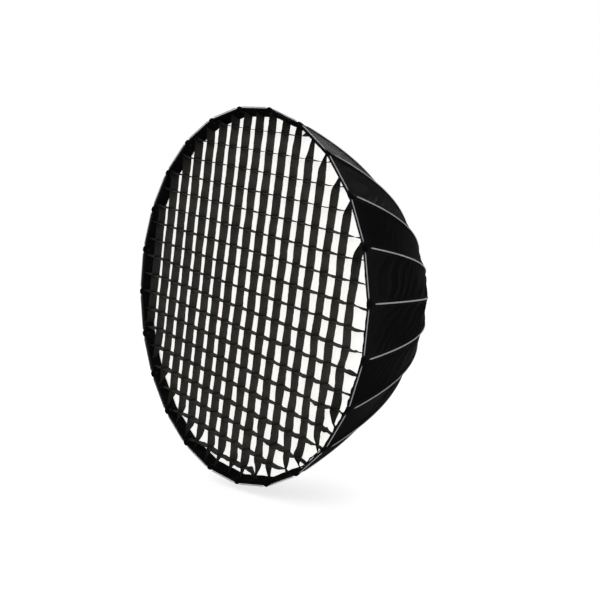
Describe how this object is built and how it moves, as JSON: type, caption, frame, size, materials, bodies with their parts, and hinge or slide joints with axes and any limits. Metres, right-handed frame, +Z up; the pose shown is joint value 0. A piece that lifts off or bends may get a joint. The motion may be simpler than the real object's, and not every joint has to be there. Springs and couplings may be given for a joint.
{
  "type": "octabox",
  "caption": "Deep parabolic folding softbox: fabric shell on curved ribs, recessed white diffuser, cloth egg-crate grid and a rotating bayonet hub.",
  "frame": {"origin": "centre of the object's bounding box, on the optical axis", "axes": "+Y along the optical axis from the front opening to the lamp, so the opening faces -Y; +Z up"},
  "size_m": [1.5, 0.874, 1.5],
  "materials": {
    "rib_black": "black pultruded fibreglass, satin",
    "hub_black": "black powder coat, fine texture",
    "steel": "zinc-plated steel",
    "bayonet_silver": "turned, satin",
    "plastic_black": "moulded nylon, matte",
    "latch_grey": "moulded acetal, matte",
    "shell_fabric": "black coated nylon with a silver inner face",
    "diffuser_fabric": "white translucent polyester",
    "elastic": "black woven elastic",
    "grid_fabric": "dark woven strips"
  },
  "bodies": {
    "mount": {"bayonet_ring": "bayonet_silver", "retaining_ring": "steel", "retainer_screw_1": "steel", "retainer_screw_2": "steel", "retainer_screw_3": "steel"},
    "hub": {"hub_ring": "hub_black", "hinge_wire": "steel", "cover_ring": "hub_black", "cover_screw_1": "steel", "cover_screw_2": "steel", "cover_screw_3": "steel", "cover_screw_4": "steel", "outer_shell": "shell_fabric", "rear_cuff": "shell_fabric", "front_lip": "shell_fabric", "front_diffuser": "diffuser_fabric", "inner_baffle": "diffuser_fabric", "baffle_strap_1": "elastic", "baffle_strap_2": "elastic", "baffle_strap_3": "elastic", "baffle_strap_4": "elastic", "baffle_strap_5": "elastic", "baffle_strap_6": "elastic", "baffle_strap_7": "elastic", "baffle_strap_8": "elastic", "grid": "grid_fabric"},
    "slide_ring": {"slide_ring": "plastic_black"},
    "lock": {"lock_screw": "steel", "lock_knob": "plastic_black"},
    "latch_1": {"latch_1": "latch_grey"},
    "latch_2": {"latch_2": "latch_grey"},
    "rib_01": {"rib_01": "rib_black"},
    "rib_02": {"rib_02": "rib_black"},
    "rib_03": {"rib_03": "rib_black"},
    "rib_04": {"rib_04": "rib_black"},
    "rib_05": {"rib_05": "rib_black"},
    "rib_06": {"rib_06": "rib_black"},
    "rib_07": {"rib_07": "rib_black"},
    "rib_08": {"rib_08": "rib_black"},
    "rib_09": {"rib_09": "rib_black"},
    "rib_10": {"rib_10": "rib_black"},
    "rib_11": {"rib_11": "rib_black"},
    "rib_12": {"rib_12": "rib_black"},
    "rib_13": {"rib_13": "rib_black"},
    "rib_14": {"rib_14": "rib_black"},
    "rib_15": {"rib_15": "rib_black"},
    "rib_16": {"rib_16": "rib_black"},
    "rib_17": {"rib_17": "rib_black"},
    "rib_18": {"rib_18": "rib_black"},
    "rib_19": {"rib_19": "rib_black"},
    "rib_20": {"rib_20": "rib_black"},
    "rib_21": {"rib_21": "rib_black"},
    "rib_22": {"rib_22": "rib_black"},
    "rib_23": {"rib_23": "rib_black"},
    "rib_24": {"rib_24": "rib_black"}
  },
  "joints": [
    {"name": "hub_turn", "type": "hinge", "parent": "mount", "child": "hub", "pos_m": [0, 0.423, 0], "axis": [0, 1, 0], "continuous": true},
    {"name": "fold", "type": "hinge", "parent": "hub", "child": "rib_01", "pos_m": [0, 0.393, 0.098], "axis": [1, 0, 0], "range_deg": [0, 38], "deforming": ["outer_shell", "front_lip", "front_diffuser", "inner_baffle", "baffle_strap_1", "baffle_strap_2", "baffle_strap_3", "baffle_strap_4", "baffle_strap_5", "baffle_strap_6", "baffle_strap_7", "baffle_strap_8", "grid"]},
    {"name": "fold_02", "type": "hinge", "parent": "hub", "child": "rib_02", "pos_m": [0.02536, 0.393, 0.09466], "axis": [0.9659, 0, -0.2588], "range_deg": [0, 38]},
    {"name": "fold_03", "type": "hinge", "parent": "hub", "child": "rib_03", "pos_m": [0.049, 0.393, 0.08487], "axis": [0.866, 0, -0.5], "range_deg": [0, 38]},
    {"name": "fold_04", "type": "hinge", "parent": "hub", "child": "rib_04", "pos_m": [0.0693, 0.393, 0.0693], "axis": [0.7071, 0, -0.7071], "range_deg": [0, 38]},
    {"name": "fold_05", "type": "hinge", "parent": "hub", "child": "rib_05", "pos_m": [0.08487, 0.393, 0.049], "axis": [0.5, 0, -0.866], "range_deg": [0, 38]},
    {"name": "fold_06", "type": "hinge", "parent": "hub", "child": "rib_06", "pos_m": [0.09466, 0.393, 0.02536], "axis": [0.2588, 0, -0.9659], "range_deg": [0, 38]},
    {"name": "fold_07", "type": "hinge", "parent": "hub", "child": "rib_07", "pos_m": [0.098, 0.393, 0], "axis": [0, 0, -1], "range_deg": [0, 38]},
    {"name": "fold_08", "type": "hinge", "parent": "hub", "child": "rib_08", "pos_m": [0.09466, 0.393, -0.02536], "axis": [-0.2588, 0, -0.9659], "range_deg": [0, 38]},
    {"name": "fold_09", "type": "hinge", "parent": "hub", "child": "rib_09", "pos_m": [0.08487, 0.393, -0.049], "axis": [-0.5, 0, -0.866], "range_deg": [0, 38]},
    {"name": "fold_10", "type": "hinge", "parent": "hub", "child": "rib_10", "pos_m": [0.0693, 0.393, -0.0693], "axis": [-0.7071, 0, -0.7071], "range_deg": [0, 38]},
    {"name": "fold_11", "type": "hinge", "parent": "hub", "child": "rib_11", "pos_m": [0.049, 0.393, -0.08487], "axis": [-0.866, 0, -0.5], "range_deg": [0, 38]},
    {"name": "fold_12", "type": "hinge", "parent": "hub", "child": "rib_12", "pos_m": [0.02536, 0.393, -0.09466], "axis": [-0.9659, 0, -0.2588], "range_deg": [0, 38]},
    {"name": "fold_13", "type": "hinge", "parent": "hub", "child": "rib_13", "pos_m": [0, 0.393, -0.098], "axis": [-1, 0, 0], "range_deg": [0, 38]},
    {"name": "fold_14", "type": "hinge", "parent": "hub", "child": "rib_14", "pos_m": [-0.02536, 0.393, -0.09466], "axis": [-0.9659, 0, 0.2588], "range_deg": [0, 38]},
    {"name": "fold_15", "type": "hinge", "parent": "hub", "child": "rib_15", "pos_m": [-0.049, 0.393, -0.08487], "axis": [-0.866, 0, 0.5], "range_deg": [0, 38]},
    {"name": "fold_16", "type": "hinge", "parent": "hub", "child": "rib_16", "pos_m": [-0.0693, 0.393, -0.0693], "axis": [-0.7071, 0, 0.7071], "range_deg": [0, 38]},
    {"name": "fold_17", "type": "hinge", "parent": "hub", "child": "rib_17", "pos_m": [-0.08487, 0.393, -0.049], "axis": [-0.5, 0, 0.866], "range_deg": [0, 38]},
    {"name": "fold_18", "type": "hinge", "parent": "hub", "child": "rib_18", "pos_m": [-0.09466, 0.393, -0.02536], "axis": [-0.2588, 0, 0.9659], "range_deg": [0, 38]},
    {"name": "fold_19", "type": "hinge", "parent": "hub", "child": "rib_19", "pos_m": [-0.098, 0.393, 0], "axis": [0, 0, 1], "range_deg": [0, 38]},
    {"name": "fold_20", "type": "hinge", "parent": "hub", "child": "rib_20", "pos_m": [-0.09466, 0.393, 0.02536], "axis": [0.2588, 0, 0.9659], "range_deg": [0, 38]},
    {"name": "fold_21", "type": "hinge", "parent": "hub", "child": "rib_21", "pos_m": [-0.08487, 0.393, 0.049], "axis": [0.5, 0, 0.866], "range_deg": [0, 38]},
    {"name": "fold_22", "type": "hinge", "parent": "hub", "child": "rib_22", "pos_m": [-0.0693, 0.393, 0.0693], "axis": [0.7071, 0, 0.7071], "range_deg": [0, 38]},
    {"name": "fold_23", "type": "hinge", "parent": "hub", "child": "rib_23", "pos_m": [-0.049, 0.393, 0.08487], "axis": [0.866, 0, 0.5], "range_deg": [0, 38]},
    {"name": "fold_24", "type": "hinge", "parent": "hub", "child": "rib_24", "pos_m": [-0.02536, 0.393, 0.09466], "axis": [0.9659, 0, 0.2588], "range_deg": [0, 38]},
    {"name": "ring_slide", "type": "slide", "parent": "hub", "child": "slide_ring", "axis": [0, 1, 0], "range_m": [0, 0.0112]},
    {"name": "lock_turn", "type": "hinge", "parent": "hub", "child": "lock", "pos_m": [-0.0154, 0.4115, -0.11699], "axis": [-0.1305, 0, -0.9914], "range_deg": [0, 360]},
    {"name": "latch_1_release", "type": "hinge", "parent": "hub", "child": "latch_1", "pos_m": [0.09369, 0.376, -0.01233], "axis": [0.1305, 0, 0.9914], "range_deg": [0, 20]},
    {"name": "latch_2_release", "type": "hinge", "parent": "hub", "child": "latch_2", "pos_m": [-0.09369, 0.376, 0.01233], "axis": [-0.1305, 0, -0.9914], "range_deg": [0, 20]}
  ],
  "couplings": [
    {"joint": "fold_02", "follows": "fold", "ratio": 1},
    {"joint": "fold_03", "follows": "fold", "ratio": 1},
    {"joint": "fold_04", "follows": "fold", "ratio": 1},
    {"joint": "fold_05", "follows": "fold", "ratio": 1},
    {"joint": "fold_06", "follows": "fold", "ratio": 1},
    {"joint": "fold_07", "follows": "fold", "ratio": 1},
    {"joint": "fold_08", "follows": "fold", "ratio": 1},
    {"joint": "fold_09", "follows": "fold", "ratio": 1},
    {"joint": "fold_10", "follows": "fold", "ratio": 1},
    {"joint": "fold_11", "follows": "fold", "ratio": 1},
    {"joint": "fold_12", "follows": "fold", "ratio": 1},
    {"joint": "fold_13", "follows": "fold", "ratio": 1},
    {"joint": "fold_14", "follows": "fold", "ratio": 1},
    {"joint": "fold_15", "follows": "fold", "ratio": 1},
    {"joint": "fold_16", "follows": "fold", "ratio": 1},
    {"joint": "fold_17", "follows": "fold", "ratio": 1},
    {"joint": "fold_18", "follows": "fold", "ratio": 1},
    {"joint": "fold_19", "follows": "fold", "ratio": 1},
    {"joint": "fold_20", "follows": "fold", "ratio": 1},
    {"joint": "fold_21", "follows": "fold", "ratio": 1},
    {"joint": "fold_22", "follows": "fold", "ratio": 1},
    {"joint": "fold_23", "follows": "fold", "ratio": 1},
    {"joint": "fold_24", "follows": "fold", "ratio": 1},
    {"joint": "ring_slide", "follows": "fold", "m_per_rad": 0.01669}
  ]
}
